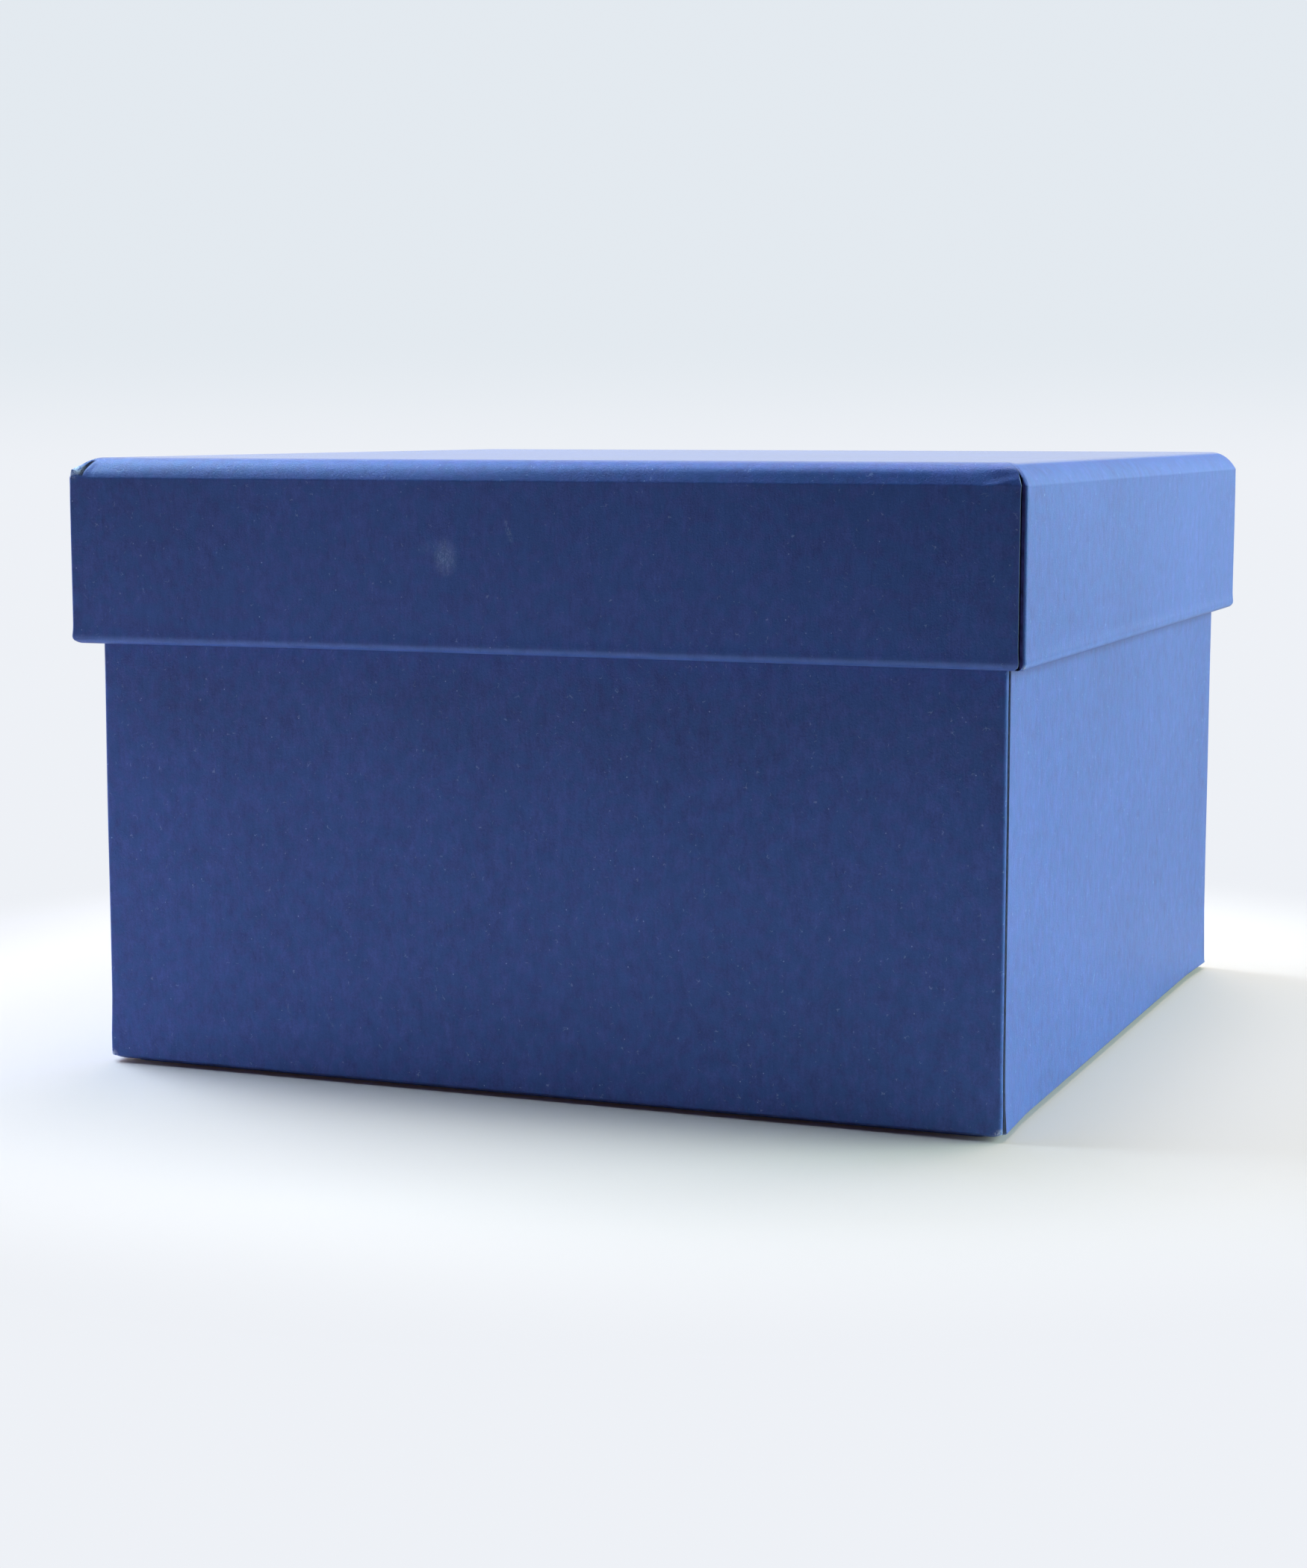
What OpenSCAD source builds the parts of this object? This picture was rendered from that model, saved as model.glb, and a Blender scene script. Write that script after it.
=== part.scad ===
// Square gift box: a wrapped board tray and a deep lift-off lid, closed.
// The front looks along -Y, +Z is up, and the origin is the middle of the underside.

/* [Base] */
// Outer width of the base, along X
base_w = 153; // [80:1:300]
// Outer depth of the base, along Y
base_d = 153; // [80:1:300]
// Outer height of the base, from the underside to the rim
base_h = 98; // [60:1:200]
// Thickness of the base's board
base_board_t = 2; // [1.2:0.1:3]
// Radius of the fold along the base's bottom edges
base_edge_r = 1.6; // [0.8:0.1:4]
// Radius on both sides of the base's rim
base_rim_r = 0.8; // [0.4:0.1:1]
// Depth of the wrap turned in over the rim
base_turn_in = 16; // [8:1:24]
// Width of the wrap turned under the bottom
turn_under = 14; // [6:1:30]

/* [Lid] */
// Outer height of the lid, from its lip to its top
lid_h = 30; // [22:1:50]
// Thickness of the lid's board
lid_board_t = 2; // [1.8:0.1:3]
// Radius of the fold along the lid's top edges
lid_edge_r = 4.2; // [1:0.1:6]
// Radius on both sides of the lid's lip
lid_rim_r = 1.1; // [0.4:0.1:1.1]
// Depth of the wrap turned in over the lip
lid_turn_in = 14; // [6:1:15]
// Gap on each side between the base and the lid
side_gap = 0.9; // [0.4:0.1:2]
// Gap between the base's rim and the inside of the lid
seat_gap = 0.2; // [0.1:0.1:1]

/* [Corners] */
// Outer radius of the standing corners
corner_r = 1.2; // [0.8:0.1:3]
// Width of the slit where two walls of a board meet
slit_w = 0.2; // [0.1:0.05:0.5]
// Length of each leg of a corner stay
stay_leg = 10; // [6:1:30]
// Thickness of a corner stay
stay_t = 0.15; // [0.1:0.01:0.3]
// Distance from a corner stay's ends to the rounded edges
stay_margin = 1; // [0.5:0.1:4]

/* [Paper] */
// Thickness of the outer wrap
wrap_t = 0.2; // [0.1:0.01:0.3]
// Thickness of the lining
lining_t = 0.2; // [0.1:0.01:0.3]
// Height of the band where a lining covers a turn-in
lining_lap = 5; // [2:0.5:6]
// Thickness of the sheet under the base
sheet_t = 0.4; // [0.1:0.01:0.6]
// Distance from the sheet's edges to the sides of the base
sheet_inset = 3; // [2:0.5:6]

/* [Hidden] */
$fn = 64;

// Each corner's name, and the side of X and of Y that it stands on
CORNERS = [
    ["front_left", -1, -1], ["front_right", 1, -1],
    ["back_left", -1, 1], ["back_right", 1, 1],
];
wrap_colour = "#3d4d7c";
board_colour = "#a8a196";
lining_colour = "#efece4";
stay_colour = "#b8946a";
// How far a cutting shape runs past what it cuts
past = 1;

// Everything between the base's side and the lid's side
lid_overhang = side_gap + lining_t + wrap_t + lid_board_t + wrap_t;
lid_top = base_h + seat_gap + lining_t + lid_board_t + wrap_t;

// A tray: width, depth, height, board, fold radius, rim radius, turn-in
base_tray = [base_w, base_d, base_h - sheet_t, base_board_t, base_edge_r, base_rim_r, base_turn_in];
lid_tray = [
    base_w + 2 * lid_overhang, base_d + 2 * lid_overhang, lid_h,
    lid_board_t, lid_edge_r, lid_rim_r, lid_turn_in,
];
function width(tray) = tray[0];
function depth(tray) = tray[1];
function height(tray) = tray[2];
function edge_r(tray) = tray[4];
function rim_r(tray) = tray[5];
// Insets from a tray's outside to the board's inner face and to the turn-in's
function board_in(tray) = wrap_t + tray[3];
function wall_t(tray) = board_in(tray) + wrap_t;
// Height at which the turn-in's edge lies
function turn_in_z(tray) = height(tray) - tray[6];

// A rectangle standing on the X axis, with its lower and its upper corners rounded
module rounded_rectangle(length, tall, low_r, high_r) {
    translate([-length / 2, low_r]) square([length, tall - low_r - high_r]);
    translate([low_r - length / 2, 0]) square([length - 2 * low_r, tall / 2]);
    translate([high_r - length / 2, tall / 2]) square([length - 2 * high_r, tall / 2]);
    for (side = [-1, 1]) {
        if (low_r > 0) translate([side * (length / 2 - low_r), low_r]) circle(low_r);
        if (high_r > 0) translate([side * (length / 2 - high_r), tall - high_r]) circle(high_r);
    }
}

// An upright block from z = low to z = high, centred on the origin in X and Y
module prism(long, deep, low, high, upright_r) {
    translate([0, -deep / 2, low])
        linear_extrude(high - low) rounded_rectangle(long, deep, upright_r, upright_r);
}

// A block whose edges are rounded all round below and above
module rounded_block(long, deep, low, high, upright_r, low_r, high_r) {
    intersection() {
        prism(long, deep, low, high, upright_r);
        translate([0, deep / 2, low]) rotate([90, 0, 0])
            linear_extrude(deep) rounded_rectangle(long, high - low, low_r, high_r);
        translate([-long / 2, 0, low]) rotate([90, 0, 90])
            linear_extrude(long) rounded_rectangle(deep, high - low, low_r, high_r);
    }
}

// A tray's outer shape drawn in by inset on every side, up to z = high.
// Its bottom folds are round as far in as the board's outer face, and sharp from its inner face on.
module tray_block(tray, inset, high, high_r = 0) {
    fold_r = inset < board_in(tray) ? edge_r(tray) - inset : 0;
    rounded_block(
        width(tray) - 2 * inset, depth(tray) - 2 * inset, inset, high,
        max(corner_r - inset, 0), fold_r, high_r
    );
}

// The outline of a mouth that flares outwards over the radius flare_r, up to y = 0
module flare_outline(length, flare_r) {
    difference() {
        translate([-length / 2 - flare_r, -flare_r])
            square([length + 2 * flare_r, flare_r + past]);
        for (side = [-1, 1])
            translate([side * (length / 2 + flare_r), -flare_r]) circle(flare_r);
    }
}

// A tray's hollow at an inset from its outside, with a mouth rounded over the rim
module tray_hollow(tray, inset) {
    drop = wall_t(tray) - inset;
    flare_r = rim_r(tray) - drop;
    mouth_z = height(tray) - drop;
    long = width(tray) - 2 * inset;
    deep = depth(tray) - 2 * inset;
    tray_block(tray, inset, height(tray) + past);
    intersection() {
        translate([0, deep / 2 + flare_r, mouth_z]) rotate([90, 0, 0])
            linear_extrude(deep + 2 * flare_r) flare_outline(long, flare_r);
        translate([-long / 2 - flare_r, 0, mouth_z]) rotate([90, 0, 90])
            linear_extrude(long + 2 * flare_r) flare_outline(deep, flare_r);
    }
}

// Paper that tapes two walls together round one corner, let into the board.
// The board's recess for it is the same shape carried outwards by outset.
module tray_stay(tray, corner, outset = 0) {
    low = edge_r(tray) + stay_margin;
    high = height(tray) - rim_r(tray) - stay_margin;
    long = width(tray) - 2 * wrap_t;
    deep = depth(tray) - 2 * wrap_t;
    outer_r = max(corner_r - wrap_t, 0);
    inner_r = max(outer_r - stay_t, 0);
    intersection() {
        difference() {
            prism(long + 2 * outset, deep + 2 * outset, low, high, outer_r + outset);
            prism(long - 2 * stay_t, deep - 2 * stay_t, low - past, high + past, inner_r);
        }
        translate([corner[1] * long / 2, corner[2] * deep / 2, (low + high) / 2])
            cube([2 * stay_leg, 2 * stay_leg, high - low + past], center = true);
    }
}

// One creased board blank folded into a tray, whose walls meet at a slit in each corner.
// The slit straddles the face where a side wall butts against the front or the back.
module tray_board(tray) {
    floor_z = board_in(tray);
    slit_y = depth(tray) / 2 - floor_z;
    difference() {
        tray_block(tray, wrap_t, height(tray) - wrap_t, rim_r(tray) - wrap_t);
        tray_hollow(tray, floor_z);
        for (corner = CORNERS) {
            tray_stay(tray, corner, past);
            translate([
                corner[1] * (width(tray) / 2 - floor_z / 2), corner[2] * slit_y,
                (floor_z + height(tray) + past) / 2
            ])
                cube([2 * floor_z, slit_w, height(tray) + past - floor_z], center = true);
        }
    }
}

// The outer paper: round the board, over the rim and down the inside
module tray_wrap(tray) {
    difference() {
        tray_block(tray, 0, height(tray), rim_r(tray));
        difference() {
            tray_block(tray, wrap_t, height(tray) - wrap_t, rim_r(tray) - wrap_t);
            tray_hollow(tray, board_in(tray));
        }
        tray_hollow(tray, wall_t(tray));
        tray_block(tray, board_in(tray), turn_in_z(tray));
    }
}

// The inner paper: over the board's floor and walls, and up over the turn-in's edge
module tray_lining(tray) {
    step_z = turn_in_z(tray);
    difference() {
        union() {
            tray_block(tray, board_in(tray), step_z);
            tray_block(tray, wall_t(tray), step_z + lining_lap);
        }
        tray_block(tray, board_in(tray) + lining_t, step_z - lining_t);
        tray_block(tray, wall_t(tray) + lining_t, step_z + lining_lap + past);
    }
}

// Stands a tray on the sheet under the base
module as_base() {
    translate([0, 0, sheet_t]) children();
}

// Turns a tray over to make the lid
module as_lid() {
    translate([0, 0, lid_top]) mirror([0, 0, 1]) children();
}

module base_board() {
    color(board_colour) as_base() tray_board(base_tray);
}

module base_wrap() {
    window_w = base_w - 2 * turn_under;
    window_d = base_d - 2 * turn_under;
    color(wrap_colour) as_base() difference() {
        tray_wrap(base_tray);
        cube([window_w, window_d, 3 * wrap_t], center = true);
    }
}

module base_lining() {
    color(lining_colour) as_base() tray_lining(base_tray);
}

module base_bottom_sheet() {
    color(wrap_colour) translate([0, 0, sheet_t / 2])
        cube([base_w - 2 * sheet_inset, base_d - 2 * sheet_inset, sheet_t], center = true);
}

module base_stay(corner) {
    color(stay_colour) as_base() tray_stay(base_tray, corner);
}

module lid_board() {
    color(board_colour) as_lid() tray_board(lid_tray);
}

module lid_wrap() {
    color(wrap_colour) as_lid() tray_wrap(lid_tray);
}

module lid_lining() {
    color(lining_colour) as_lid() tray_lining(lid_tray);
}

module lid_stay(corner) {
    color(stay_colour) as_lid() tray_stay(lid_tray, corner);
}

base_board();
base_wrap();
base_lining();
base_bottom_sheet();
lid_board();
lid_wrap();
lid_lining();
for (corner = CORNERS) {
    base_stay(corner);
    lid_stay(corner);
}
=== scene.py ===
"""A square gift box with a deep lift-off lid: blue wrapping paper over board."""

import math

import bmesh
import bpy
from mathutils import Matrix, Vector, noise


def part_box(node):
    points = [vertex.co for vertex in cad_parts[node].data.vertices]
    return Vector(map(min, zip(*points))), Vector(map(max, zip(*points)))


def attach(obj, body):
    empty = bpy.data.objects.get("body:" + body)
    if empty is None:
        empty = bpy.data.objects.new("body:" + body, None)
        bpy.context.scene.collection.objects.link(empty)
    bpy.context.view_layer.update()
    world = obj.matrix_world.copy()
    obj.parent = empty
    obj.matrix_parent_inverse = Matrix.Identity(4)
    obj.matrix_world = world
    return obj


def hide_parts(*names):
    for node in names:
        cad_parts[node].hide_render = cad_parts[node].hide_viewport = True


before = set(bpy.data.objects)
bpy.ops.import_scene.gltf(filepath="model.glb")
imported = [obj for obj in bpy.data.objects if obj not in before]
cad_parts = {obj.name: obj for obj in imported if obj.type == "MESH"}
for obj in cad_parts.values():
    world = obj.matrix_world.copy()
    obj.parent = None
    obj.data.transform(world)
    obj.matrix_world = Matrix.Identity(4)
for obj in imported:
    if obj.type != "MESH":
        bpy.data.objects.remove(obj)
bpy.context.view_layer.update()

MM = 0.001


def span(node):
    """A node's width and depth, and its lowest and highest z, at rest."""
    low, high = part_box(node)
    return high[0] - low[0], high[1] - low[1], low[2], high[2]


# The trays' outer sizes come from the frame; what lies inside them follows the board and the paper.
LID_W, LID_D, LIP_Z, LID_TOP = span("lid_wrap")
BASE_W, BASE_D, UNDER_Z, RIM_Z = span("base_wrap")
SHEET_W, SHEET_D, SHEET_LOW, SHEET_HIGH = span("base_bottom_sheet")
LID_LINING_W, LID_LINING_D, LID_LINING_LOW, LID_LINING_HIGH = span("lid_lining")
BASE_LINING_W, BASE_LINING_D, BASE_LINING_LOW, BASE_LINING_HIGH = span("base_lining")
BOARD_T = 2.0 * MM
PAPER_T = 0.2 * MM
WALL_T = BOARD_T + 2 * PAPER_T
LID_TURN_IN = 14 * MM
BASE_TURN_IN = 16 * MM
TURN_UNDER = 14 * MM
GLUED_FLAP = 11 * MM

# Edges. A wrap is swept with corners of SWEPT_R, and its Lap then gives them their own radius.
SWEPT_R = 1.15 * MM
CORNER_STEPS = 6
LID_CORNER_R = 0.45 * MM
BASE_CORNER_R = 0.6 * MM
LINING_CORNER_R = 0.5 * MM
LIP_H = 1.2 * MM
RIM_R = 0.8 * MM
FOLD_REACH = 4.2 * MM
FOLD_RISE = 3.3 * MM
FOLD_LEAN = 0.6
PAPER_LIFT = 0.2 * MM

# The lid's knocked corner: its sides of X and Y, and the plane of the slit that gapes beside it
KNOCKED = (-1, -1)
SLIT_NORMAL = Vector((1, -1, 0.5))
SLIT_OFFSET = (LID_D - LID_W) / 2 + 0.95 * MM + 0.5 * LID_TOP

# noise_vector, which crumples the knocked corner, takes its offsets from this seed, or else from the clock.
noise.seed_set(1)

# Spacing of a mesh's columns and rings
FIRST_COLUMN = 0.07 * MM
COLUMN_GROWTH = 1.17
WIDEST_COLUMN = 4.2 * MM
RING_GROWTH = 1.35
WIDEST_RING = 7 * MM

# ---------------------------------------------------------------- modelling


def deselect():
    bpy.ops.object.select_all(action="DESELECT")


def pick(piece):
    """Makes a piece the only one selected, and the active one."""
    deselect()
    piece.select_set(True)
    bpy.context.view_layer.objects.active = piece


def edit(piece):
    """Opens a piece in edit mode with nothing selected."""
    pick(piece)
    bpy.ops.object.mode_set(mode="EDIT")
    bpy.ops.mesh.select_all(action="DESELECT")


def leave_edit():
    bpy.ops.object.mode_set(mode="OBJECT")


def graded(start, step, growth, widest, end):
    """Values after start and before end, further and further apart."""
    values = []
    value = start
    while value + step < end:
        value += step
        values.append(value)
        step = min(step * growth, widest)
    return values


def cut_side(piece, axis, half, side, across):
    """Cuts an outline's straight side into columns, close together at its ends and wider in its middle.

    The side runs along axis, from -half to half, and lies at side * across on the other axis.
    """
    offsets = [FIRST_COLUMN]
    offsets += graded(FIRST_COLUMN, 2 * FIRST_COLUMN, COLUMN_GROWTH, WIDEST_COLUMN, half)
    cuts = 2 * len(offsets) + 1
    shape = bmesh.from_edit_mesh(piece.data)
    bpy.ops.mesh.select_all(action="DESELECT")
    for edge in shape.edges:
        if edge.calc_length() > half:
            middle = (edge.verts[0].co + edge.verts[1].co) / 2
            edge.select = abs(middle[1 - axis] - side * across) < MM
    bmesh.update_edit_mesh(piece.data)
    bpy.ops.mesh.subdivide(number_cuts=cuts)
    shape = bmesh.from_edit_mesh(piece.data)
    for vert in shape.verts:
        on_side = abs(vert.co[1 - axis] - side * across) < 0.01 * MM
        if not on_side or abs(vert.co[axis]) > half - 0.001 * MM:
            continue
        index = round((vert.co[axis] / half + 1) / 2 * (cuts + 1))
        from_end = min(index, cuts + 1 - index)
        if from_end <= len(offsets):
            sign = 1 if 2 * index > cuts + 1 else -1
            vert.co[axis] = sign * (half - offsets[from_end - 1])
        else:
            vert.co[axis] = 0
    bmesh.update_edit_mesh(piece.data)


def rounded_square(name, width, depth, z, corner_r):
    """A closed outline with rounded corners, whose straight sides are cut into columns."""
    deselect()
    bpy.ops.mesh.primitive_plane_add(size=1, location=(0, 0, 0))
    piece = bpy.context.object
    piece.name = name
    bpy.ops.object.mode_set(mode="EDIT")
    bpy.ops.mesh.select_all(action="SELECT")
    bpy.ops.transform.resize(value=(width, depth, 1))
    bpy.ops.transform.translate(value=(0, 0, z))
    bpy.ops.mesh.bevel(offset=corner_r, segments=CORNER_STEPS, affect="VERTICES")
    bpy.ops.mesh.delete(type="ONLY_FACE")
    for axis, length, across in ((0, width, depth), (1, depth, width)):
        for side in (-1, 1):
            cut_side(piece, axis, length / 2 - corner_r, side, across / 2)
    bpy.ops.mesh.select_all(action="SELECT")
    leave_edit()
    return piece


def sweep(name, width, depth, corner_r, rings, close=False):
    """Extrudes a rounded square through rings of (inset, z), and may close the last one to a point."""
    inset, z = rings[0]
    piece = rounded_square(name, width - 2 * inset, depth - 2 * inset, z, corner_r)
    edit(piece)
    bpy.ops.mesh.select_all(action="SELECT")
    for next_inset, next_z in rings[1:]:
        bpy.ops.mesh.extrude_edges_move(TRANSFORM_OT_translate={"value": (0, 0, next_z - z)})
        narrower = [(side - 2 * next_inset) / (side - 2 * inset) for side in (width, depth)]
        bpy.ops.transform.resize(value=(*narrower, 1), center_override=(0, 0, next_z))
        inset, z = next_inset, next_z
    if close:
        bpy.ops.mesh.merge(type="COLLAPSE")
    leave_edit()
    piece["closed"] = close
    return piece


def turn_faces(piece, inwards):
    """Turns a sheet's faces out of the tray, or into it."""
    edit(piece)
    bpy.ops.mesh.select_all(action="SELECT")
    bpy.ops.mesh.normals_make_consistent(inside=inwards)
    leave_edit()


def move_points(piece, shift):
    """Moves each vertex by what shift says of its place."""
    for vert in piece.data.vertices:
        vert.co += shift(vert.co)
    piece.data.update()


def thicken(piece, thickness):
    """Gives a sheet its thickness behind its faces, with a rim round its edges."""
    pick(piece)
    wall = piece.modifiers.new("paper", "SOLIDIFY")
    wall.thickness = thickness
    wall.offset = -1
    wall.use_even_offset = False
    bpy.ops.object.modifier_apply(modifier=wall.name)


def smooth(piece):
    pick(piece)
    bpy.ops.object.shade_smooth_by_angle(angle=math.radians(35))


def finish_piece(piece, body, slot, *nodes):
    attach(piece, body)
    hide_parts(*nodes)


# ---------------------------------------------------------------- profiles


def steps(start, end, count):
    """Values after start, up to and with end, evenly spread."""
    return [start + (end - start) * (i + 1) / count for i in range(count)]


def fold_arc(count):
    """Rings over the lid's scored fold, as (inset, height above its start).

    They follow an ellipse from the angle FOLD_LEAN, where it leaves the wall in a crease, until it is level.
    """
    past_crease = 0.035
    lean_x, lean_z = math.cos(FOLD_LEAN), math.sin(FOLD_LEAN)
    first = FOLD_LEAN + past_crease
    arc = []
    for turn in [first] + steps(first, math.pi / 2, count):
        inset = FOLD_REACH * (1 - math.cos(turn) / lean_x)
        arc.append((inset, FOLD_RISE * (math.sin(turn) - lean_z) / (1 - lean_z)))
    return arc


def lid_rings():
    """The lid's wrap: down from the turn-in's edge, round the lip, up the skirt, over the fold and across."""
    inner_edge, above_lip, fold_z = LIP_Z + LID_TURN_IN, LIP_Z + 4 * MM, LID_TOP - FOLD_RISE
    half = WALL_T / 2
    rings = [(WALL_T, inner_edge)]
    rings += [(WALL_T, z) for z in steps(inner_edge, LIP_Z + LIP_H / 2, 8)]
    for turn in steps(0, math.pi, 10):
        height = LIP_H if turn > math.pi / 2 else LIP_H / 2
        rings.append((half + half * math.cos(turn), LIP_Z + height * (1 - math.sin(turn))))
    rings += [(0, z) for z in steps(LIP_Z + LIP_H, above_lip, 5)]
    rings += [(0, z) for z in steps(above_lip, fold_z - 0.15 * MM, 14)]
    rings.append((0, fold_z))
    rings += [(inset, fold_z + z) for inset, z in fold_arc(14)]
    middle = LID_W / 2 - 2 * MM
    rings += [(inset, LID_TOP) for inset in graded(FOLD_REACH, 0.8 * MM, RING_GROWTH, WIDEST_RING, middle)]
    return rings


def base_rings():
    """The base's wrap: out from the turn-under's edge, up the wall, over the rim and down inside."""
    rings = [(TURN_UNDER, UNDER_Z)]
    rings += [(inset, UNDER_Z) for inset in steps(TURN_UNDER, 5 * MM, 3)]
    under = [(2.6, 0.06), (1.3, 0.18), (0.8, 0.4), (0.5, 0.58)]
    under += [(0.25, 0.68), (0.08, 0.78), (0.01, 0.92), (0, 1.4)]
    rings += [(inset * MM, UNDER_Z + z * MM) for inset, z in under]
    rings += [(0, z) for z in steps(rings[-1][1], RIM_Z - RIM_R, 30)]
    for turn in steps(0, math.pi / 2, 4):
        rings.append((RIM_R * (1 - math.cos(turn)), RIM_Z - RIM_R * (1 - math.sin(turn))))
    rings.append((WALL_T - RIM_R, RIM_Z))
    for turn in steps(0, math.pi / 2, 4):
        rings.append((WALL_T - RIM_R * (1 - math.sin(turn)), RIM_Z - RIM_R * (1 - math.cos(turn))))
    rings += [(WALL_T, z) for z in steps(RIM_Z - RIM_R, RIM_Z - BASE_TURN_IN, 8)]
    return rings


def lining_rings(edge_z, step_z, floor_z):
    """A lining's face: down over the turn-in, out by one paper past its edge, on down and across the floor.

    The lid's is the same the other way up.
    """
    down = 1 if edge_z > floor_z else -1
    joggle = 0.8 * MM * down
    bend = 1.2 * MM
    rings = [(0, edge_z)] + [(0, z) for z in steps(edge_z, step_z + joggle / 2, 3)]
    rings += [(-PAPER_T * ease(part, 0, 1), step_z + joggle * (0.5 - part)) for part in steps(0, 1, 4)]
    rings += [(-PAPER_T, z) for z in steps(step_z - joggle / 2, floor_z + down * bend, 12)]
    for turn in steps(0, math.pi / 2, 5):
        rings.append((-PAPER_T + bend * (1 - math.cos(turn)), floor_z + down * bend * (1 - math.sin(turn))))
    rings += [(inset, floor_z) for inset in graded(bend, bend, RING_GROWTH, WIDEST_RING, 70 * MM)]
    return rings


# ---------------------------------------------------------------- shaping


def bump(distance, reach):
    """1 at no distance, falling smoothly to about an eighth at reach and to nothing past it."""
    return math.exp(-(distance / reach) ** 2 * 2)


def ease(value, low, high):
    """0 below low, 1 above high and smooth between, where high may be the lower one."""
    part = min(max((value - low) / (high - low), 0), 1)
    return part * part * (3 - 2 * part)


class Lap:
    """How one panel's cut paper edge lies over its neighbour's flap at a tray's four corners.

    The over panels face along the axis over (0 for X, 1 for Y). Their paper is raised over the flap and ends
    in a cut edge, past which a strip of the flap shows before it turns the corner. lift gives how far the
    paper is raised at a height. strip and groove give, for a corner's sides of X and Y and a height, how wide
    the strip is and how deep the corner's line is pressed in.
    """

    # The strip beside the cut edge takes a material of painted shade.
    CUT_SLOT, GAP_SLOT = 1, 2  # which of the piece's materials the cut edge and the strip beside it have
    CUT_RUN = 0.03 * MM  # how far the cut edge slants out on its way down to the flap
    IN_CORNER = 0.04 * MM  # between a corner's arc and the first column
    ON_FACE = 0.01 * MM  # within this of a panel's plane a vertex is on it
    FIRST_REACH = 0.1 * MM  # just past the first column
    SHIFTED = 4 * MM  # how far from the corner the columns make way for the strip
    RAISED = GLUED_FLAP + 5 * MM  # how far from the corner the paper stays raised

    def __init__(self, over, width, depth, corner_r, lift, strip, groove):
        self.over, self.under = over, 1 - over
        self.half = (width / 2, depth / 2)
        self.corner_r = corner_r
        self.lift, self.strip, self.groove = lift, strip, groove
        self.cut, self.fold, self.gap = set(), set(), set()

    def shape(self, piece, rings, outside):
        """Shapes the rings whose places in the list are in outside, and marks the cut edge and the gap, whose
        faces take painted shade.
        """
        per_ring = len(piece.data.vertices) // (len(rings) - 1 if piece["closed"] else len(rings))
        first_inset = rings[0][0]
        self.straight = [1 - SWEPT_R / (half - first_inset) for half in self.half]
        for vert in piece.data.vertices:
            ring = min(vert.index // per_ring, len(rings) - 1)
            if ring in outside:
                self.move(vert, *rings[ring])
        for panel in piece.data.polygons:
            corners = set(panel.vertices)
            if corners <= self.cut | self.fold and corners & self.cut:
                panel.material_index = self.CUT_SLOT
            elif corners <= self.fold | self.gap and corners & self.fold:
                panel.material_index = self.GAP_SLOT
        piece.data.update()

    def move(self, vert, inset, z):
        """Moves a vertex of the ring at inset and z where the lap wants it."""
        over, under = self.over, self.under
        sides = tuple(1 if part > 0 else -1 for part in vert.co[:2])
        half_over, half_under = self.half[over] - inset, self.half[under] - inset
        arc_over, arc_under = half_over * self.straight[over], half_under * self.straight[under]
        along = arc_under - abs(vert.co[under])
        out = arc_over - abs(vert.co[over])
        lift, strip = self.lift(z), max(self.strip(sides, z), self.CUT_RUN)
        edge = half_under - self.corner_r - strip
        if along > self.IN_CORNER and out < self.ON_FACE:
            vert.co[over] += sides[over] * lift * ease(along, self.RAISED, 0)
            if along < self.FIRST_REACH:
                self.cut.add(vert.index)
                vert.co[under] = sides[under] * (edge - self.CUT_RUN)
            else:
                shifted = ease(along, self.SHIFTED, self.FIRST_REACH)
                vert.co[under] += sides[under] * (edge - arc_under) * shifted
        elif along <= self.IN_CORNER and out <= self.ON_FACE:
            turned = math.atan2(max(-along, 0), max(-out, 0))
            step = round(turned / (math.pi / 2 / CORNER_STEPS))
            if step == 0:
                self.fold.add(vert.index)
                vert.co[over] = sides[over] * (half_over - 0.5 * lift)
                vert.co[under] = sides[under] * edge
                return
            if step == 1:
                self.gap.add(vert.index)
            angle = (step - 1) / (CORNER_STEPS - 1) * math.pi / 2
            reach = self.corner_r - self.groove(sides, z) * math.sin(2 * angle) ** 2
            vert.co[over] = sides[over] * (half_over - self.corner_r + reach * math.cos(angle))
            vert.co[under] = sides[under] * (half_under - self.corner_r + reach * math.sin(angle))


# ---------------------------------------------------------------- pieces


def lid_lift(z):
    """The front and back panels lie over the sides' flaps, up to a point on the fold."""
    return PAPER_LIFT * ease(z, LID_TOP - 1.4 * MM, LID_TOP - 2.6 * MM)


def lid_strip(sides, z):
    """The strip beyond the cut edge narrows to a pointed arch on the fold.

    The knocked corner's is pressed shut.
    """
    below = (LID_TOP - 1.6 * MM - z) / (2.4 * MM)
    width = 0.08 * MM if sides == KNOCKED else 0.62 * MM
    return width * math.sqrt(min(max(below, 0), 1))


def lid_groove(sides, z):
    """The folds meet in a faint line, which has opened at the knocked corner."""
    depth = 0.4 * MM if sides == KNOCKED else 0.06 * MM
    return depth * ease(z, LID_TOP - 3.8 * MM, LID_TOP - 2.6 * MM) * ease(z, LID_TOP, LID_TOP - 0.5 * MM)


def base_lift(z):
    """The side panels lie over the front's and back's flaps and curl off them at the bottom."""
    curl = 0.3 * MM * bump(z - UNDER_Z - 0.6 * MM, 1.5 * MM)
    return PAPER_LIFT * ease(z, UNDER_Z, UNDER_Z + 0.7 * MM) + curl


def base_strip(sides, z):
    """A narrow gap, the same at each corner, which opens where the side's paper curls at the bottom."""
    return 0.5 * MM + 1.3 * MM * bump(z - UNDER_Z - 2.8 * MM, 1.7 * MM)


def base_groove(sides, z):
    """The base's corners are plainly rounded."""
    return 0


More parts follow.
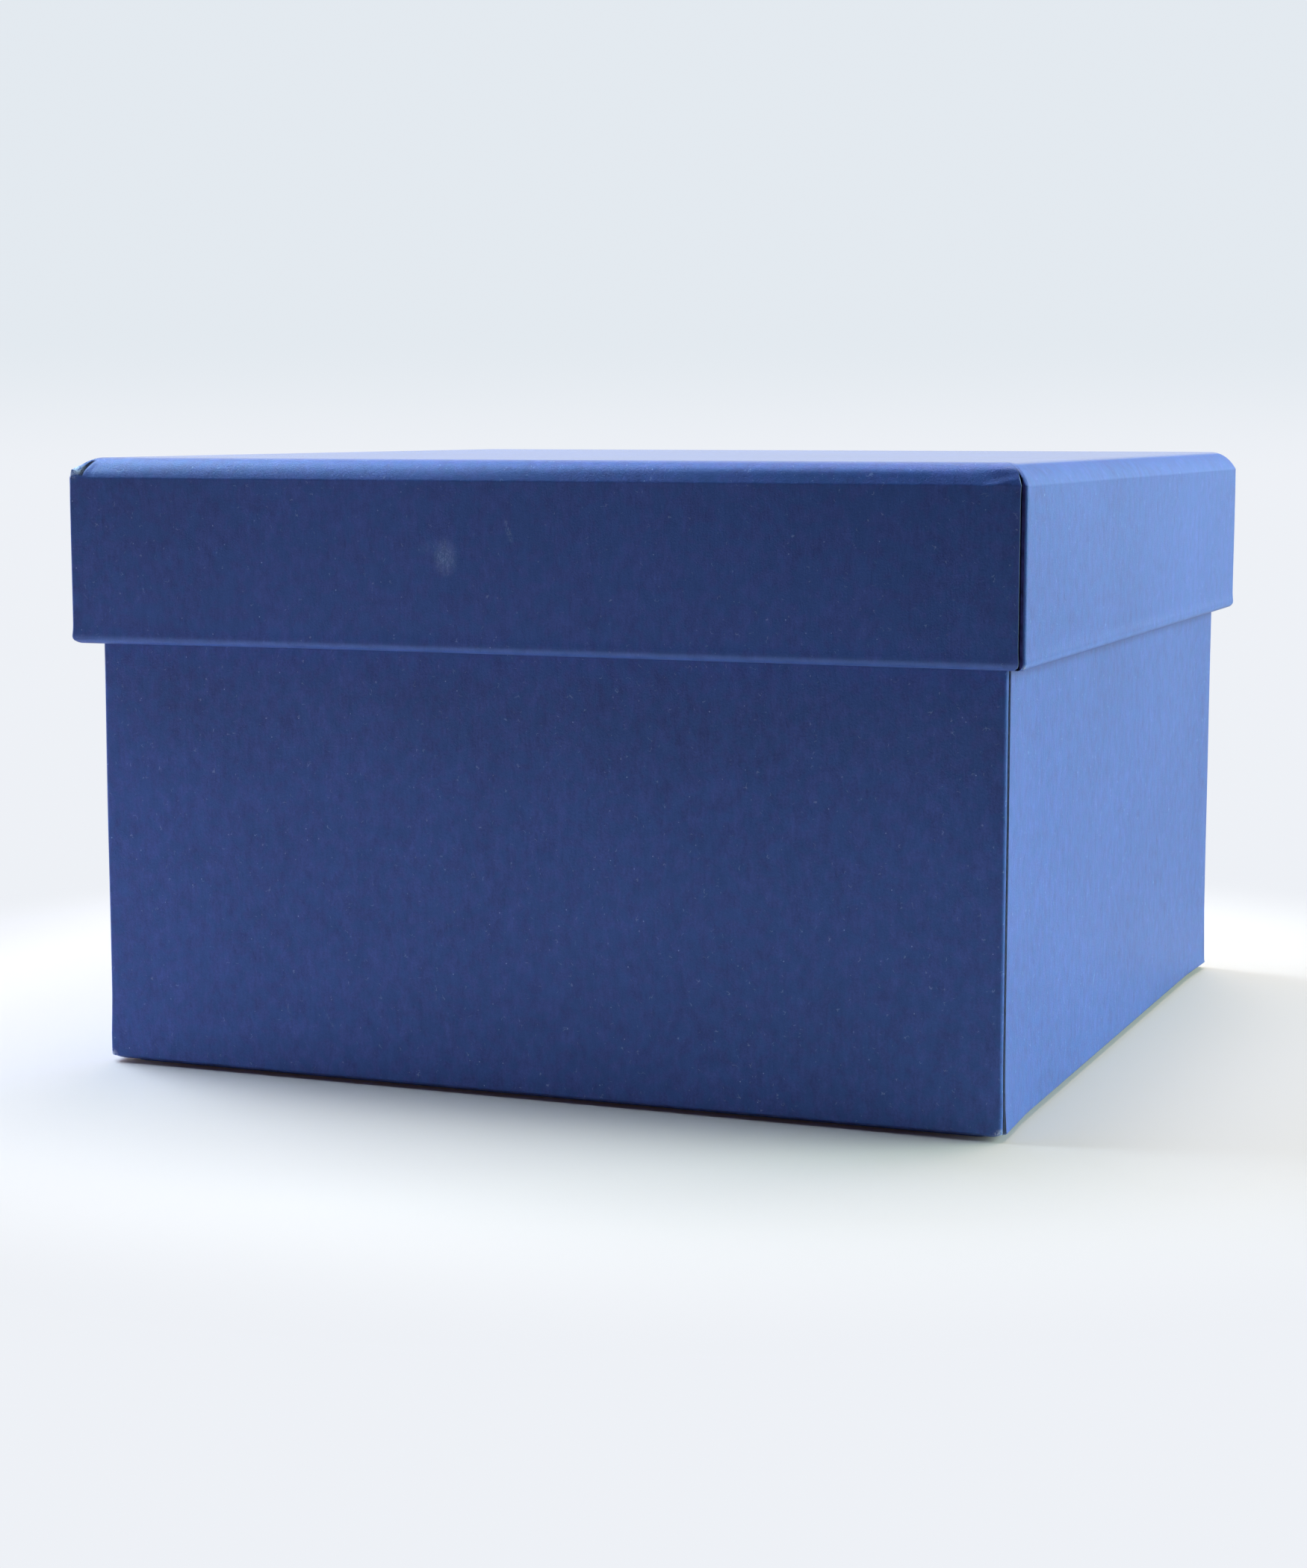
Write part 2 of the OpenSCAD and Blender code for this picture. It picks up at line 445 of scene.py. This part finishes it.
def lid_unevenness(place):
    """Soft waves in the skirt, its flare above the lip, and the droop of the front lip's left part."""
    front = ease(place.y, -40 * MM, 3 * MM - LID_D / 2)
    past = min(place.x + 24 * MM, 0)
    droop = 0.35 * MM * (bump(past, 62 * MM) - 1) * front * ease(place.z, LIP_Z + 16 * MM, LIP_Z)
    wave = 0.12 * MM * noise.noise(place / (26 * MM)) * ease(place.z, LID_TOP, LID_TOP - 6 * MM)
    outer = max(abs(place.x) - LID_W / 2, abs(place.y) - LID_D / 2) > -0.5 * MM
    flare = 0.18 * MM * bump(place.z - LIP_Z - 0.9 * MM, 1.6 * MM) if outer else 0
    outward = Vector((place.x, place.y, 0)).normalized()
    return outward * (wave + flare) + Vector((0, 0, droop))


def lid_wrinkle(place):
    """The front fold: fuller towards the near corner, and beside it a soft ridge that rises to the corner."""
    if place.y > -LID_D / 2 + 6 * MM:
        return Vector()
    across = place.x - (LID_W / 2 - FOLD_REACH)
    ridge_z = LID_TOP - 3.1 * MM + 0.28 * across
    ridge = 0.2 * MM * bump(place.z - ridge_z, 0.6 * MM) * bump(across, 4 * MM)
    shoulder = 0.3 * MM * bump(place.z - (LID_TOP - 1 * MM), 1.1 * MM) * bump(across, 4 * MM)
    fuller = 0.24 * MM * bump(place.z - (LID_TOP - 1.3 * MM), 1.2 * MM) * ease(place.x, -30 * MM, 60 * MM)
    return Vector((0, -1, 0.3)) * (ridge + shoulder + fuller)


def lid_bruise(place):
    """The knocked corner at the front left: a slit gapes across the front fold, and the tip is crumpled."""
    corner = Vector((-LID_W / 2, -LID_D / 2, LID_TOP - 2 * MM))
    away = (place - corner).length
    if away > 9 * MM:
        return Vector()
    split = place.dot(SLIT_NORMAL) - SLIT_OFFSET
    on_fold = bump(place.z - (LID_TOP - 1.7 * MM), 2.3 * MM) * bump(away, 6 * MM)
    front_edge = Vector((0.1, -0.8, 0.6)) * 0.26 * MM * bump(split - 0.6 * MM, 0.6 * MM)
    flap = Vector((-0.6, -0.6, 0.5)) * 0.4 * MM * bump(split + 0.7 * MM, 0.8 * MM)
    slit = Vector((0.2, 0.7, -0.6)) * 0.15 * MM * bump(split, 0.3 * MM)
    from_tip = (place - corner - Vector((0.7, 0.6, 0)) * MM).length
    tip = Vector((-0.8, -0.15, 0.5)) * 0.75 * MM * bump(from_tip, 1.4 * MM)
    crumple = noise.noise_vector(place / (0.8 * MM)) * 0.3 * MM * bump(away, 3.2 * MM)
    return (front_edge + flap + slit) * on_fold + tip + crumple


def base_unevenness(place):
    """Soft waves in the walls, and a slight flare towards the bottom corners."""
    wave = 0.16 * MM * noise.noise(place / (34 * MM) + Vector((3, 1, 7)))
    outward = Vector((place.x, place.y, 0)).normalized()
    within = ease(place.z, UNDER_Z, UNDER_Z + 6 * MM)
    corner = min(abs(place.x), abs(place.y)) / (BASE_W / 2)
    flare = 0.22 * MM * ease(corner, 0.93, 1) * bump(place.z - 4 * MM, 6 * MM)
    return outward * (wave * within + flare)


def finish_wrap(piece, body, node):
    turn_faces(piece, inwards=False)
    thicken(piece, 0.9 * PAPER_T)
    smooth(piece)
    finish_piece(piece, body, "blue_paper", node)


def make_lid_wrap():
    """The lid's paper, lapped from its lip to a little way in over its top."""
    rings = lid_rings()
    piece = sweep("lid_wrap_paper", LID_W, LID_D, SWEPT_R, rings, close=True)
    heights = [z for inset, z in rings]
    top = next(ring for ring, (inset, z) in enumerate(rings) if z == LID_TOP and inset > 6 * MM)
    outside = range(heights.index(min(heights)) + 1, top)
    lap = Lap(1, LID_W, LID_D, LID_CORNER_R, lid_lift, lid_strip, lid_groove)
    lap.shape(piece, rings, outside)
    for shift in (lid_unevenness, lid_wrinkle, lid_bruise):
        move_points(piece, shift)
    finish_wrap(piece, "lid", "lid_wrap")
    return piece


def make_base_wrap():
    """The base's paper, lapped from its turn-under to its rim."""
    rings = base_rings()
    piece = sweep("base_wrap_paper", BASE_W, BASE_D, SWEPT_R, rings)
    heights = [z for inset, z in rings]
    outside = range(heights.index(max(heights)))
    lap = Lap(0, BASE_W, BASE_D, BASE_CORNER_R, base_lift, base_strip, base_groove)
    lap.shape(piece, rings, outside)
    move_points(piece, base_unevenness)
    finish_wrap(piece, "base", "base_wrap")
    return piece


def lining_waves(place):
    return Vector((0, 0, 0.05 * MM * noise.noise(place / (18 * MM))))


def make_lining(name, width, depth, edge_z, step_z, floor_z, body, node):
    """A lining inside a node of width and depth, which is two papers thick where it laps the turn-in."""
    rings = lining_rings(edge_z, step_z, floor_z)
    piece = sweep(name, width - 4 * PAPER_T, depth - 4 * PAPER_T, LINING_CORNER_R, rings, close=True)
    turn_faces(piece, inwards=True)
    move_points(piece, lining_waves)
    thicken(piece, 0.8 * PAPER_T)
    smooth(piece)
    finish_piece(piece, body, "lining_paper", node)
    return piece


def make_bottom_sheet():
    """The sheet under the base, with its corners cut round and its edges slightly softened."""
    deselect()
    middle = (0, 0, (SHEET_LOW + SHEET_HIGH) / 2)
    bpy.ops.mesh.primitive_cube_add(size=1, location=middle)
    piece = bpy.context.object
    piece.name = "base_bottom_sheet_paper"
    edit(piece)
    bpy.ops.mesh.select_all(action="SELECT")
    bpy.ops.transform.resize(value=(SHEET_W, SHEET_D, SHEET_HIGH - SHEET_LOW), center_override=middle)
    leave_edit()
    bpy.ops.object.transform_apply(location=True, rotation=False, scale=False)
    edit(piece)
    shape = bmesh.from_edit_mesh(piece.data)
    for edge in shape.edges:
        if abs(edge.verts[0].co.z - edge.verts[1].co.z) > 0.1 * MM:
            edge.select = True
    bmesh.update_edit_mesh(piece.data)
    bpy.ops.mesh.bevel(offset=1.2 * MM, segments=4)
    shape = bmesh.from_edit_mesh(piece.data)
    bpy.ops.mesh.select_all(action="DESELECT")
    for side in shape.faces:
        side.select = abs(side.normal.z) > 0.9
    bmesh.update_edit_mesh(piece.data)
    bpy.ops.mesh.bevel(offset=0.1 * MM, segments=2)
    leave_edit()
    smooth(piece)
    finish_piece(piece, "base", "blue_paper", "base_bottom_sheet")
    return piece


lid_wrap = make_lid_wrap()
base_wrap = make_base_wrap()
bottom_sheet = make_bottom_sheet()
base_lining = make_lining(
    "base_lining_paper", BASE_LINING_W, BASE_LINING_D, BASE_LINING_HIGH,
    RIM_Z - BASE_TURN_IN, BASE_LINING_LOW + PAPER_T, "base", "base_lining",
)
lid_lining = make_lining(
    "lid_lining_paper", LID_LINING_W, LID_LINING_D, LID_LINING_LOW,
    LIP_Z + LID_TURN_IN, LID_LINING_HIGH - PAPER_T, "lid", "lid_lining",
)

# ---------------------------------------------------------------- shader nodes


class Wire:
    """A node's output, which takes part in sums."""

    def __init__(self, tree, socket):
        self.tree, self.socket = tree, socket

    def __add__(self, other):
        return self.tree.maths("ADD", self, other)

    def __sub__(self, other):
        return self.tree.maths("SUBTRACT", self, other)

    def __rsub__(self, other):
        return self.tree.maths("SUBTRACT", other, self)

    def __mul__(self, other):
        return self.tree.maths("MULTIPLY", self, other)

    __radd__ = __add__
    __rmul__ = __mul__

    def most(self, other):
        return self.tree.maths("MAXIMUM", self, other)

    def size(self):
        return self.tree.maths("ABSOLUTE", self, 0)

    def along(self, axis):
        """What a place or a direction is on X, Y or Z."""
        return self.tree.add("ShaderNodeSeparateXYZ", {}, {0: self}, axis)

    def ramp(self, low, high):
        """0 at low, 1 at high and smooth between."""
        inputs = {"Value": self, "From Min": low, "From Max": high}
        return self.tree.add("ShaderNodeMapRange", {"interpolation_type": "SMOOTHSTEP"}, inputs)


class Tree:
    """The nodes of a material or of the world."""

    def __init__(self, tree):
        self.nodes, self.links = tree.nodes, tree.links

    def add(self, kind, settings, inputs, output=0):
        """Adds a node with its settings, then the values or wires of its inputs, and gives one output."""
        node = self.nodes.new(kind)
        for key, value in settings.items():
            setattr(node, key, value)
        for key, value in inputs.items():
            self.feed(node.inputs[key], value)
        return Wire(self, node.outputs[output])

    def feed(self, socket, value):
        if isinstance(value, Wire):
            self.links.new(value.socket, socket)
        else:
            socket.default_value = value

    def maths(self, operation, one, other):
        return self.add("ShaderNodeMath", {"operation": operation}, {0: one, 1: other})

    def vector(self, operation, inputs, output=0):
        return self.add("ShaderNodeVectorMath", {"operation": operation}, inputs, output)

    def blend(self, factor, colour, other):
        """colour where factor is 0, other where it is 1."""
        return self.add("ShaderNodeMix", {"data_type": "RGBA"}, {0: factor, 6: colour, 7: other}, 2)

    def ray(self, kind):
        """1 for the rays of a kind, Camera or Glossy."""
        return self.add("ShaderNodeLightPath", {}, {}, "Is " + kind + " Ray")


class Finish(Tree):
    """A material being made: its nodes, its shader and the place on the object, in millimetres."""

    def __init__(self, name):
        self.material = bpy.data.materials.new(name)
        self.material.use_nodes = True
        super().__init__(self.material.node_tree)
        self.shader = self.nodes["Principled BSDF"]
        metres = self.add("ShaderNodeTexCoord", {}, {}, "Object")
        self.place = self.vector("SCALE", {0: metres, "Scale": 1 / MM})

    def noise(self, scale, detail=2, roughness=0.5, shift=(0, 0, 0)):
        """Noise whose scale along X, Y and Z is in turns per millimetre."""
        stretched = self.vector("MULTIPLY_ADD", {0: self.place, 1: scale, 2: shift})
        inputs = {"Vector": stretched, "Scale": 1, "Detail": detail, "Roughness": roughness}
        return self.add("ShaderNodeTexNoise", {}, inputs)

    def oval(self, centre, radii, axis, tilt, full):
        """A mark that is 0 outside its radii and 1 within the share full of them.

        It is turned by tilt degrees about axis.
        """
        offset = self.vector("SUBTRACT", {0: self.place, 1: centre})
        settings = {"rotation_type": axis + "_AXIS"}
        turned = self.add("ShaderNodeVectorRotate", settings, {"Vector": offset, "Angle": math.radians(tilt)})
        scaled = self.vector("DIVIDE", {0: turned, 1: radii})
        return self.vector("LENGTH", {0: scaled}, "Value").ramp(1, full)

    def relief(self, height, depth):
        """Bump of a height from 0 to 1 that is depth millimetres deep."""
        inputs = {"Height": height, "Distance": depth * MM, "Strength": 1}
        self.feed(self.shader.inputs["Normal"], self.add("ShaderNodeBump", {}, inputs))

    def gloss_above(self, height):
        """A smoother skin on the faces above a height, which mirrors the room at a low angle."""
        self.feed(self.shader.inputs["Coat Weight"], self.place.along("Z").ramp(height, height + 0.4) * 0.8)
        self.shader.inputs["Coat Roughness"].default_value = 0.14

    def colour(self, value):
        self.feed(self.shader.inputs["Base Color"], value)

    def roughness(self, value):
        self.feed(self.shader.inputs["Roughness"], value)


# ---------------------------------------------------------------- finishes

DEEP_BLUE = (0.043, 0.081, 0.3, 1)
CLEAR_BLUE = (0.08, 0.143, 0.52, 1)
TEAL_BLUE = (0.034, 0.128, 0.41, 1)
EDGE_HIGHLIGHT_BLUE = (0.13, 0.24, 0.68, 1)
# The next blue is a painted highlight along the trays' turned edges.
WORN_CORE = (0.62, 0.71, 0.9, 1)
DUST = (0.42, 0.6, 0.98, 1)
SLIT_PAINTED_SHADE = (0.003, 0.004, 0.014, 1)
CUT_BLUE, CUT_PALE = (0.1, 0.17, 0.4, 1), (0.3, 0.38, 0.6, 1)
# Painted shade for the flap in the gaps at the trays' corners, where the raised panels shade it
LID_GAP_SHADE_DARK, LID_GAP_SHADE_BLUE = (0.004, 0.005, 0.015, 1), (0.09, 0.095, 0.4, 1)
BASE_GAP_SHADE_DARK, BASE_GAP_SHADE_BLUE = (0.002, 0.003, 0.008, 1), (0.005, 0.007, 0.02, 1)
LINING_DULL, LINING_PALE = (0.78, 0.76, 0.7, 1), (0.86, 0.84, 0.79, 1)
BOARD_DARK, BOARD_GREY, BOARD_FLECK = (0.27, 0.25, 0.22, 1), (0.45, 0.42, 0.37, 1), (0.62, 0.6, 0.55, 1)
KRAFT_DARK, KRAFT_PALE = (0.33, 0.2, 0.1, 1), (0.52, 0.35, 0.2, 1)

# Faces and edges of the trays, in millimetres, as the finishes count them
LID_RIGHT, LID_FRONT, LIP, TOP = LID_W / 2 / MM, -LID_D / 2 / MM, LIP_Z / MM, LID_TOP / MM
BASE_RIGHT, BASE_FRONT, RIM = BASE_W / 2 / MM, -BASE_D / 2 / MM, RIM_Z / MM

# Rubbed patches and scratches: centre and radii, the axis that their face looks along, tilt, strength
LID_MARKS = [
    ((-12.3, LID_FRONT, 85.6), (2.7, 2, 3.8), "Y", 4, 0.62),
    ((-15.6, LID_FRONT, 87.0), (2.6, 2, 1.6), "Y", 20, 0.1),
    ((-1.5, LID_FRONT, 89.6), (0.6, 2, 2.6), "Y", 17, 0.7),
]
BASE_MARKS = [
    ((-42.8, BASE_FRONT, 11.3), (0.4, 2, 3.4), "Y", 14, 0.26),
    ((-35.6, BASE_FRONT, 10.6), (0.3, 2, 3.4), "Y", 32, 0.26),
    ((-16.3, BASE_FRONT, 15.5), (0.35, 2, 1.8), "Y", 6, 0.16),
    ((-41.5, BASE_FRONT, 2.6), (0.8, 2, 0.7), "Y", 0, 0.36),
    ((-54.1, BASE_FRONT, 67.1), (0.3, 2, 0.5), "Y", 0, 0.5),
    ((BASE_RIGHT, -17.5, 14.5), (2, 0.5, 2.6), "X", 25, 0.4),
    ((BASE_RIGHT, -20.6, 19.5), (2, 0.4, 3.4), "X", 12, 0.25),
    ((BASE_RIGHT, -27.5, 30), (2, 0.4, 7), "X", 3, 0.16),
]

# Corners worn down to the paper's core: centre and radius
LID_WORN = [((0.8 - LID_RIGHT, LID_FRONT + 0.4, TOP - 1.7), 2.2), ((LID_RIGHT, LID_FRONT, LIP), 1.2)]
BASE_WORN = [((-BASE_RIGHT, BASE_FRONT, 1), 1.6), ((BASE_RIGHT, BASE_FRONT, 1), 1.4)]


def paper_tone(paper, fibres, grit, mottle):
    """The blue, deeper and clearer by fibre, grit, mottle and soft clouds, with teal patches."""
    clouds = paper.noise((0.03, 0.03, 0.03), 2, 0.5, (5, 2, 9))
    streaks = paper.noise((0.4, 0.4, 0.014), 2, 0.5)
    tone = 0.5 + (fibres - 0.5) * 0.8 + (grit - 0.5) * 1.3 + (mottle - 0.5) * 1.3
    tone = tone + (clouds - 0.5) * 0.7 + (streaks - 0.5) * 0.12
    patches = paper.noise((0.42, 0.42, 0.42), 2, 0.6, (3, 1, 4)).ramp(0.42, 0.6)
    return paper.blend(patches * 0.4, paper.blend(tone, DEEP_BLUE, CLEAR_BLUE), TEAL_BLUE)


def rub(paper, colour, marks):
    """Adds marks of pale fuzz, over a haze where a mark is wide."""
    fuzz = paper.noise((2.4, 2.4, 1.3), 4, 0.85).ramp(0.45, 0.66)
    for centre, radii, axis, tilt, strength in marks:
        haze = 0.25 if min(radii) > 1 else 0
        mark = paper.oval(centre, radii, axis, tilt, 0) * (fuzz * (1 - haze) + haze)
        colour = paper.blend(mark * strength, colour, DUST)
    return colour


def dust(paper, colour):
    """Adds specks, in some of a pattern's cells, and hairs, along some of a noise's contours."""
    cells = paper.add("ShaderNodeTexVoronoi", {}, {"Vector": paper.place, "Scale": 0.62})
    some = paper.noise((0.5, 0.5, 0.5), 1, 0.5, (1, 8, 3)).ramp(0.5, 0.62)
    colour = paper.blend(cells.ramp(0.085, 0.03) * some * 0.7, colour, DUST)
    contour = (paper.noise((0.9, 0.9, 0.9), 1, 0.5, (7, 3, 2)) - 0.5).size()
    some = paper.noise((0.9, 0.9, 0.9), 1, 0.5, (2, 6, 4)).ramp(0.64, 0.7)
    return paper.blend(contour.ramp(0.022, 0.008) * some * 0.28, colour, DUST)


def edge_highlight(paper, colour, mottle, height):
    """Paints a pale, mottled highlight along a turned edge at a height, where light thrown up from the floor
    would catch it.
    """
    near = (paper.place.along("Z") - height).size().ramp(0.9, 0.2)
    return paper.blend(near * (mottle * 0.5 + 0.25), colour, EDGE_HIGHLIGHT_BLUE)


def wear_through(paper, colour, worn):
    """Wears corners down to the paper's core, with a ragged border."""
    ragged = paper.noise((1.9, 1.9, 1.9), 4, 0.85).ramp(0.42, 0.56)
    for centre, radius in worn:
        spot = paper.oval(centre, (radius, radius, radius), "Z", 0, 0.3)
        colour = paper.blend(spot * ragged * 0.9, colour, WORN_CORE)
    return colour


def knocked_slit_shade(paper):
    """Where the slit at the lid's knocked corner lies open, which takes painted shade."""
    across = paper.vector("DOT_PRODUCT", {0: paper.place, 1: SLIT_NORMAL}, "Value") - SLIT_OFFSET / MM
    on_fold = paper.oval((2.4 - LID_RIGHT, LID_FRONT + 1.4, TOP - 1.7), (3, 3, 1.9), "Z", 0, 0.6)
    return across.size().ramp(0.48, 0.24) * on_fold


def blue_paper(name, marks, worn, edge, slit=None):
    """Satin blue wrapping paper: mottled, with short fibres, grit, dust, rubbed marks and worn corners, a
    painted highlight along a turned edge and painted shade in an open slit.

    edge is the height of a turned edge, which takes a painted highlight. slit, if there is one, says of the
    paper where it lies open and takes painted shade.
    """
    paper = Finish(name)
    fibres = paper.noise((2.1, 2.1, 0.45), 3, 0.65)
    grit = paper.noise((3.6, 3.6, 3.6), 3, 0.7)
    mottle = paper.noise((0.5, 0.5, 0.36), 3, 0.6)
    colour = paper_tone(paper, fibres, grit, mottle)
    colour = rub(paper, colour, marks)
    colour = dust(paper, colour)
    # Painted highlight along the turned edge.
    colour = edge_highlight(paper, colour, mottle, edge)
    roughness = 0.42 + (grit - 0.5) * 0.2
    if slit:
        slit_shade = slit(paper)
        # Painted shade inside the open slit.
        colour = paper.blend(slit_shade * 0.95, colour, SLIT_PAINTED_SHADE)
        roughness = roughness + slit_shade * 0.55
    paper.colour(wear_through(paper, colour, worn))
    paper.roughness(roughness)
    paper.shader.inputs["Specular IOR Level"].default_value = 0.24
    paper.relief(fibres * 0.4 + grit * 0.6, 0.1)
    return paper


def lid_blue_paper():
    """The lid's paper, whose top is smoother than its sides."""
    paper = blue_paper("lid_blue_paper", LID_MARKS, LID_WORN, LIP + 0.5, knocked_slit_shade)
    paper.gloss_above(TOP - 0.5)
    return paper.material


def base_blue_paper():
    return blue_paper("base_blue_paper", BASE_MARKS, BASE_WORN, RIM).material


def paper_core():
    """The cut edge of the wrapping paper, where its pale core shows."""
    core = Finish("paper_core")
    shade = core.noise((1.5, 1.5, 1.5), 2)
    core.colour(core.blend(shade, CUT_BLUE, CUT_PALE))
    core.roughness(0.8 + (shade - 0.5) * 0.1)
    return core.material


def gap_shade_finish(name, dark, blue, inner):
    """Painted shade on the glued flap in the open gap between two panels, darkest where X or -X is less than
    inner.
    """
    gap = Finish(name)
    shade = gap.noise((1.2, 1.2, 0.6), 2)
    across = gap.place.along("X").size()
    gap.colour(gap.blend(shade * across.ramp(inner, inner + 0.25), dark, blue))
    gap.shader.inputs["Specular IOR Level"].default_value = 0
    gap.roughness(0.85 + (shade - 0.5) * 0.1)
    return gap.material


def lining_paper():
    """Matt off-white paper with a faint fleck."""
    paper = Finish("lining_paper")
    flecks = paper.noise((1.4, 1.4, 1.4), 3, 0.6)
    clouds = paper.noise((0.05, 0.05, 0.05), 2)
    paper.colour(paper.blend(flecks * 0.5 + clouds * 0.5, LINING_DULL, LINING_PALE))
    paper.roughness(0.75 + (flecks - 0.5) * 0.1)
    paper.relief(flecks, 0.04)
    return paper.material


def greyboard():
    """Recycled grey board with paler flecks."""
    board = Finish("greyboard")
    fibres = board.noise((0.9, 0.9, 0.9), 4, 0.7)
    flecks = board.noise((2.5, 2.5, 2.5), 2, 0.5, (4, 4, 4)).ramp(0.62, 0.72)
    board.colour(board.blend(flecks * 0.6, board.blend(fibres, BOARD_DARK, BOARD_GREY), BOARD_FLECK))
    board.roughness(0.85 + (fibres - 0.5) * 0.1)
    board.relief(fibres, 0.08)
    return board.material


def kraft_tape():
    """Gummed kraft paper with lengthwise fibres."""
    tape = Finish("kraft_tape")
    fibres = tape.noise((1.5, 1.5, 0.15), 4, 0.6)
    tape.colour(tape.blend(fibres, KRAFT_DARK, KRAFT_PALE))
    tape.roughness(0.7 + (fibres - 0.5) * 0.15)
    tape.relief(fibres, 0.04)
    return tape.material


def dress(piece, *materials):
    """Gives a piece its materials, in the order its faces count them."""
    slots = piece.data.materials
    for index, material in enumerate(materials):
        if index < len(slots):
            slots[index] = material
        else:
            slots.append(material)


lid_blue, base_blue = lid_blue_paper(), base_blue_paper()
lining, core = lining_paper(), paper_core()
# Painted shade in the corner gaps of the lid and the base
lid_gap_shade = gap_shade_finish("lid_paper_gap_shade", LID_GAP_SHADE_DARK, LID_GAP_SHADE_BLUE, LID_RIGHT - 1)
base_gap_shade = gap_shade_finish("base_paper_gap_shade", BASE_GAP_SHADE_DARK, BASE_GAP_SHADE_BLUE, BASE_RIGHT - 0.5)
dress(lid_wrap, lid_blue, core, lid_gap_shade)
dress(base_wrap, base_blue, core, base_gap_shade)
dress(bottom_sheet, base_blue)
dress(base_lining, lining)
dress(lid_lining, lining)
board_finish, tape_finish = greyboard(), kraft_tape()
for node_name, node_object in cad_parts.items():
    if node_name.endswith("_board"):
        dress(node_object, board_finish)
    elif "_stay_" in node_name:
        dress(node_object, tape_finish)

# ---------------------------------------------------------------- stage, lights, camera

HORIZON = (0.855, 0.88, 0.925, 1)
UPPER = (0.77, 0.82, 0.87, 1)
AMBIENT = (0.02, 0.02, 0.02, 1)
FLOOR_PALE = (0.83, 0.672, 0.628, 1)
WHITE = (1, 1, 1)

# Lamps that look at the box: name, place and size in metres, power, colour
LAMPS = [
    ("right", (1.3, 0.35, 0.48), (1.0, 0.9), 28.5, (0.66, 1, 0.85)),
    ("left", (-1.3, 0.35, 0.5), (1.0, 0.9), 9, (1, 0.97, 1)),
    ("overhead", (0, -0.1, 1.3), (0.9, 0.5), 0.5, WHITE),
    ("overhead_back", (0.1, 0.5, 1.2), (0.9, 0.6), 9.5, WHITE),
    ("overhead_left", (-0.5, 0.02, 0.6), (0.5, 0.45), 7.4, (0.56, 0.84, 1.08)),
    ("back_right", (0.8, 1.2, 0.5), (1.0, 0.9), 4.5, (0.6, 0.8, 1)),
    ("bounce", (-0.32, -0.42, 0.02), (0.5, 0.25), 0.3, (1.15, 0.85, 0.68)),
]
LAMPS_AIM = Vector((0, 0, 50 * MM))

# The camera: its sensor and lens in millimetres, its place, and how far it looks down and left in degrees
SENSOR_W, LENS = 36, 67.4
CAMERA_PLACE = (185.6 * MM, -491.5 * MM, 106.5 * MM)
CAMERA_DOWN, CAMERA_LEFT = 7.05, 21.63


def make_floor():
    """A pale floor that fades into the backdrop's colour away from the object.

    The eye and reflections see the floor fade all round, sooner beside the box. For the light that it
    throws back, only a pool before the box's left half counts.
    """
    deselect()
    bpy.ops.mesh.primitive_circle_add(vertices=96, radius=6, fill_type="NGON", location=(0, 0, 0))
    floor = bpy.context.object
    floor.name = "floor"
    ground = Finish("floor")
    ground.colour(FLOOR_PALE)
    ground.roughness(0.7)
    x, y = ground.place.along("X"), ground.place.along("Y")
    away = ground.vector("LENGTH", {0: ground.place}, "Value")
    beside = x.size().most(y.size()).ramp(77, 112)
    narrowed = ground.vector("MULTIPLY", {0: ground.place, 1: (0.5, 1, 1)})
    from_pool = ground.vector("DISTANCE", {0: narrowed, 1: (-36, -100, 0)}, "Value")
    eye = ground.ray("Camera")
    seen = eye.most(ground.ray("Glossy"))
    fade = seen * away.ramp(95, 200).most(0.45 * beside) + (1 - seen) * from_pool.ramp(60, 210)
    behind = y.ramp(-1200, -100)
    glow = ground.add("ShaderNodeEmission", {}, {"Color": HORIZON, "Strength": eye.most(behind * seen)})
    lit = Wire(ground, ground.shader.outputs[0])
    surface = ground.add("ShaderNodeMixShader", {}, {0: fade, 1: lit, 2: glow})
    ground.feed(ground.nodes["Material Output"].inputs["Surface"], surface)
    floor.data.materials.append(ground.material)


def make_world():
    """A bright backdrop for the eye and, behind the box, for reflections; a dim room for the rest."""
    world = bpy.data.worlds.new("studio")
    bpy.context.scene.world = world
    world.use_nodes = True
    room = Tree(world.node_tree)
    background = room.nodes["Background"]
    background.inputs["Strength"].default_value = 1
    direction = room.add("ShaderNodeTexCoord", {}, {}, "Generated")
    eye = room.ray("Camera")
    seen = eye.most(room.ray("Glossy"))
    backdrop = room.blend(direction.along("Z").ramp(-0.02, 0.03), HORIZON, UPPER)
    behind = direction.along("Y").ramp(-0.4, 0.2)
    shown = room.blend(behind.most(eye), AMBIENT, backdrop)
    room.feed(background.inputs["Color"], room.blend(seen, AMBIENT, shown))


def make_lamp(name, place, size, power, colour):
    lamp = bpy.data.lights.new(name, "AREA")
    lamp.shape = "RECTANGLE"
    lamp.size, lamp.size_y = size
    lamp.energy = power
    lamp.color = colour
    light = bpy.data.objects.new(name, lamp)
    light.location = place
    light.visible_camera = False
    light.rotation_euler = (LAMPS_AIM - Vector(place)).to_track_quat("-Z", "Y").to_euler()
    bpy.context.scene.collection.objects.link(light)


def make_camera():
    lens = bpy.data.cameras.new("camera")
    lens.sensor_width = SENSOR_W
    lens.lens = LENS
    camera = bpy.data.objects.new("camera", lens)
    camera.location = CAMERA_PLACE
    camera.rotation_euler = (math.radians(90 - CAMERA_DOWN), 0, math.radians(CAMERA_LEFT))
    bpy.context.scene.collection.objects.link(camera)
    bpy.context.scene.camera = camera


make_floor()
make_world()
for lamp_settings in LAMPS:
    make_lamp(*lamp_settings)
make_camera()
bpy.context.scene.view_settings.view_transform = "Standard"
